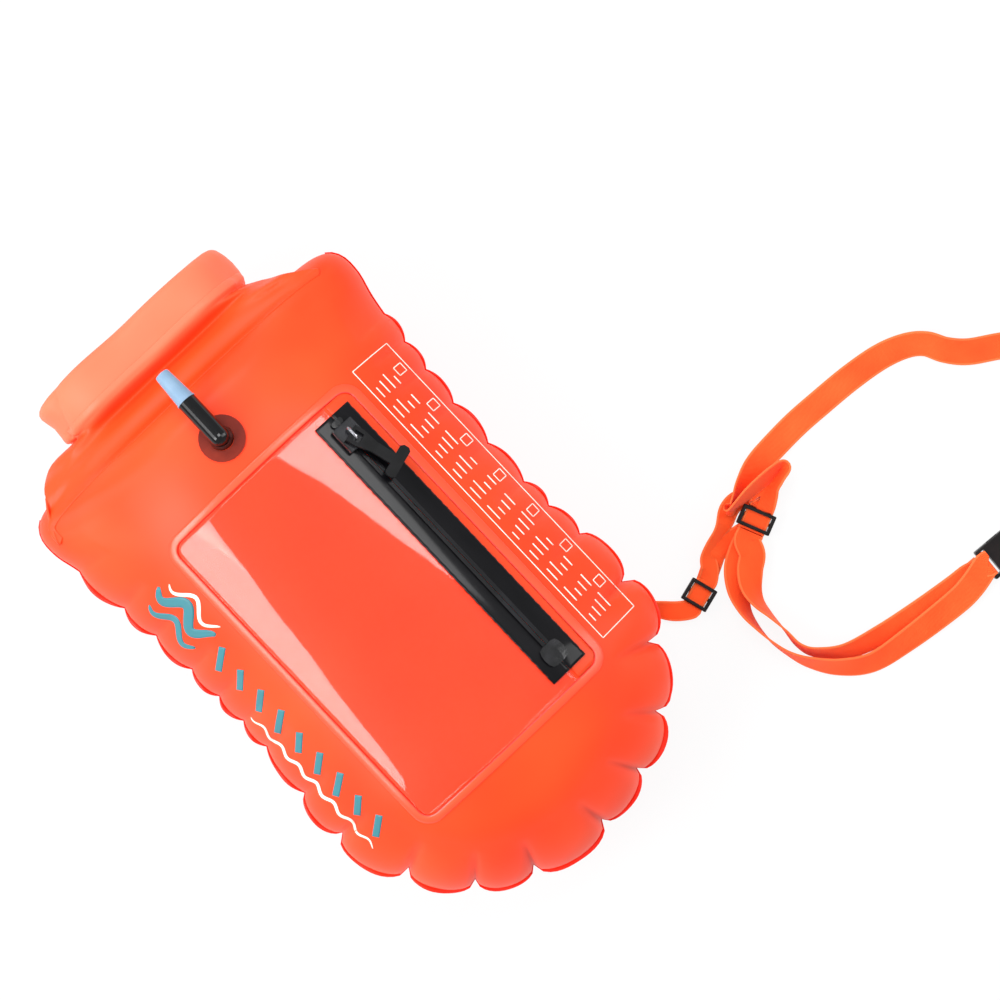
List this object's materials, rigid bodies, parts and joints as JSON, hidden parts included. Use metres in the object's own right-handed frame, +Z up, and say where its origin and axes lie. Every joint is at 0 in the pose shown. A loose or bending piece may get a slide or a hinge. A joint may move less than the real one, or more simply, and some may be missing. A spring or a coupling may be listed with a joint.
{
  "type": "open water swim buoy",
  "caption": "Inflated orange swim buoy with roll top, clear phone pocket with black zip, inflation valve, leash and waist belt.",
  "frame": {"origin": "on the ground under the middle of the bag without its straps", "axes": "+Z up, the bag lies on its back; +Y towards the roll top; +X towards the zip's side, where the leash leaves the bag"},
  "size_m": [0.6572, 0.5697, 0.1799],
  "materials": {
    "bridge_metal": "polished",
    "buckle_black": "satin",
    "clear_film": "clear, glossy",
    "coated_fabric_orange": "semi-gloss coated",
    "coated_fabric_roll": "satin",
    "mouthpiece_blue": "satin",
    "puller_rubber": "satin",
    "seal_rubber": "satin",
    "stiffener_white": "satin",
    "valve_flange_red": "satin",
    "valve_socket_brown": "satin",
    "valve_tube_black": "satin",
    "webbing_orange": "woven",
    "weld_rim_red": "satin",
    "window_weld": "satin",
    "zip_profile_black": "satin",
    "zip_slider_dark": "satin",
    "zip_tape_black": "satin"
  },
  "bodies": {
    "bag": {"back_air_chamber": "coated_fabric_orange", "belt_buckle_plug": "buckle_black", "belt_buckle_socket": "buckle_black", "belt_slider": "buckle_black", "belt_strap_inner_layer": "webbing_orange", "belt_strap_main": "webbing_orange", "belt_strap_outer_layer": "webbing_orange", "front_air_chamber": "coated_fabric_orange", "leash_anchor_patch": "weld_rim_red", "leash_slider": "buckle_black", "leash_strap": "webbing_orange", "neck_panel": "coated_fabric_roll", "perimeter_weld_rim": "weld_rim_red", "phone_window_film": "clear_film", "roll_buckle_plug": "buckle_black", "roll_buckle_socket": "buckle_black", "roll_stiffener": "stiffener_white", "roll_tab_left": "webbing_orange", "roll_tab_right": "webbing_orange", "roll_top": "coated_fabric_roll", "transfer_port_ring": "seal_rubber", "valve_flange": "valve_flange_red", "valve_socket": "valve_socket_brown", "window_frame_welt": "window_weld", "zip_end_dock": "zip_profile_black", "zip_rail_left": "zip_profile_black", "zip_rail_right": "zip_profile_black", "zip_tape_left": "zip_tape_black", "zip_tape_right": "zip_tape_black", "zip_top_stop": "zip_profile_black"},
    "valve_tube_body": {"valve_tube": "valve_tube_black"},
    "mouthpiece_body": {"valve_mouthpiece": "mouthpiece_blue"},
    "valve_plug_body": {"valve_plug": "seal_rubber", "valve_o_ring": "seal_rubber"},
    "zip_slider_body": {"zip_slider": "zip_slider_dark", "zip_pull_bridge": "bridge_metal"},
    "zip_puller_body": {"zip_puller": "puller_rubber"},
    "roll_prong_left_body": {"roll_buckle_prong_left": "buckle_black"},
    "roll_prong_right_body": {"roll_buckle_prong_right": "buckle_black"},
    "belt_prong_left_body": {"belt_buckle_prong_left": "buckle_black"},
    "belt_prong_right_body": {"belt_buckle_prong_right": "buckle_black"}
  },
  "joints": [
    {"name": "valve_tilt", "type": "hinge", "parent": "bag", "child": "valve_tube_body", "pos_m": [0.00038, 0.14134, 0.17292], "axis": [1, 0, 0], "range_deg": [0, 45], "stiffness_Nm_per_rad": 0.02},
    {"name": "mouthpiece_twist", "type": "hinge", "parent": "valve_tube_body", "child": "mouthpiece_body", "pos_m": [0.00038, 0.17427, 0.168], "axis": [0, 0.989, -0.1478], "range_deg": [0, 120]},
    {"name": "valve_plug_slide", "type": "slide", "parent": "valve_tube_body", "child": "valve_plug_body", "axis": [0, -0.989, 0.1478], "range_m": [0, 0.003]},
    {"name": "zip_slider_slide", "type": "slide", "parent": "bag", "child": "zip_slider_body", "axis": [0, -1, 0], "range_m": [0, 0.1862]},
    {"name": "zip_puller_hinge", "type": "hinge", "parent": "zip_slider_body", "child": "zip_puller_body", "pos_m": [0.06765, 0.08082, 0.16692], "axis": [-0.9121, -0.2756, 0.3034], "range_deg": [0, 150]},
    {"name": "roll_buckle_prong_left_squeeze", "type": "hinge", "parent": "bag", "child": "roll_prong_left_body", "pos_m": [0.01178, 0.24159, 0.043], "axis": [0, 0, 1], "range_deg": [0, 8], "stiffness_Nm_per_rad": 0.3},
    {"name": "roll_buckle_prong_right_squeeze", "type": "hinge", "parent": "bag", "child": "roll_prong_right_body", "pos_m": [0.01178, 0.22389, 0.043], "axis": [0, 0, -1], "range_deg": [0, 8], "stiffness_Nm_per_rad": 0.3},
    {"name": "belt_buckle_prong_left_squeeze", "type": "hinge", "parent": "bag", "child": "belt_prong_left_body", "pos_m": [0.3719, -0.29729, 0.0044], "axis": [0, 0, 1], "range_deg": [0, 8], "stiffness_Nm_per_rad": 0.3},
    {"name": "belt_buckle_prong_right_squeeze", "type": "hinge", "parent": "bag", "child": "belt_prong_right_body", "pos_m": [0.37085, -0.31495, 0.0044], "axis": [0, 0, -1], "range_deg": [0, 8], "stiffness_Nm_per_rad": 0.3}
  ],
  "couplings": [
    {"joint": "mouthpiece_twist", "follows": "valve_plug_slide", "rad_per_m": 698.13},
    {"joint": "roll_buckle_prong_right_squeeze", "follows": "roll_buckle_prong_left_squeeze", "ratio": 1},
    {"joint": "belt_buckle_prong_right_squeeze", "follows": "belt_buckle_prong_left_squeeze", "ratio": 1}
  ]
}
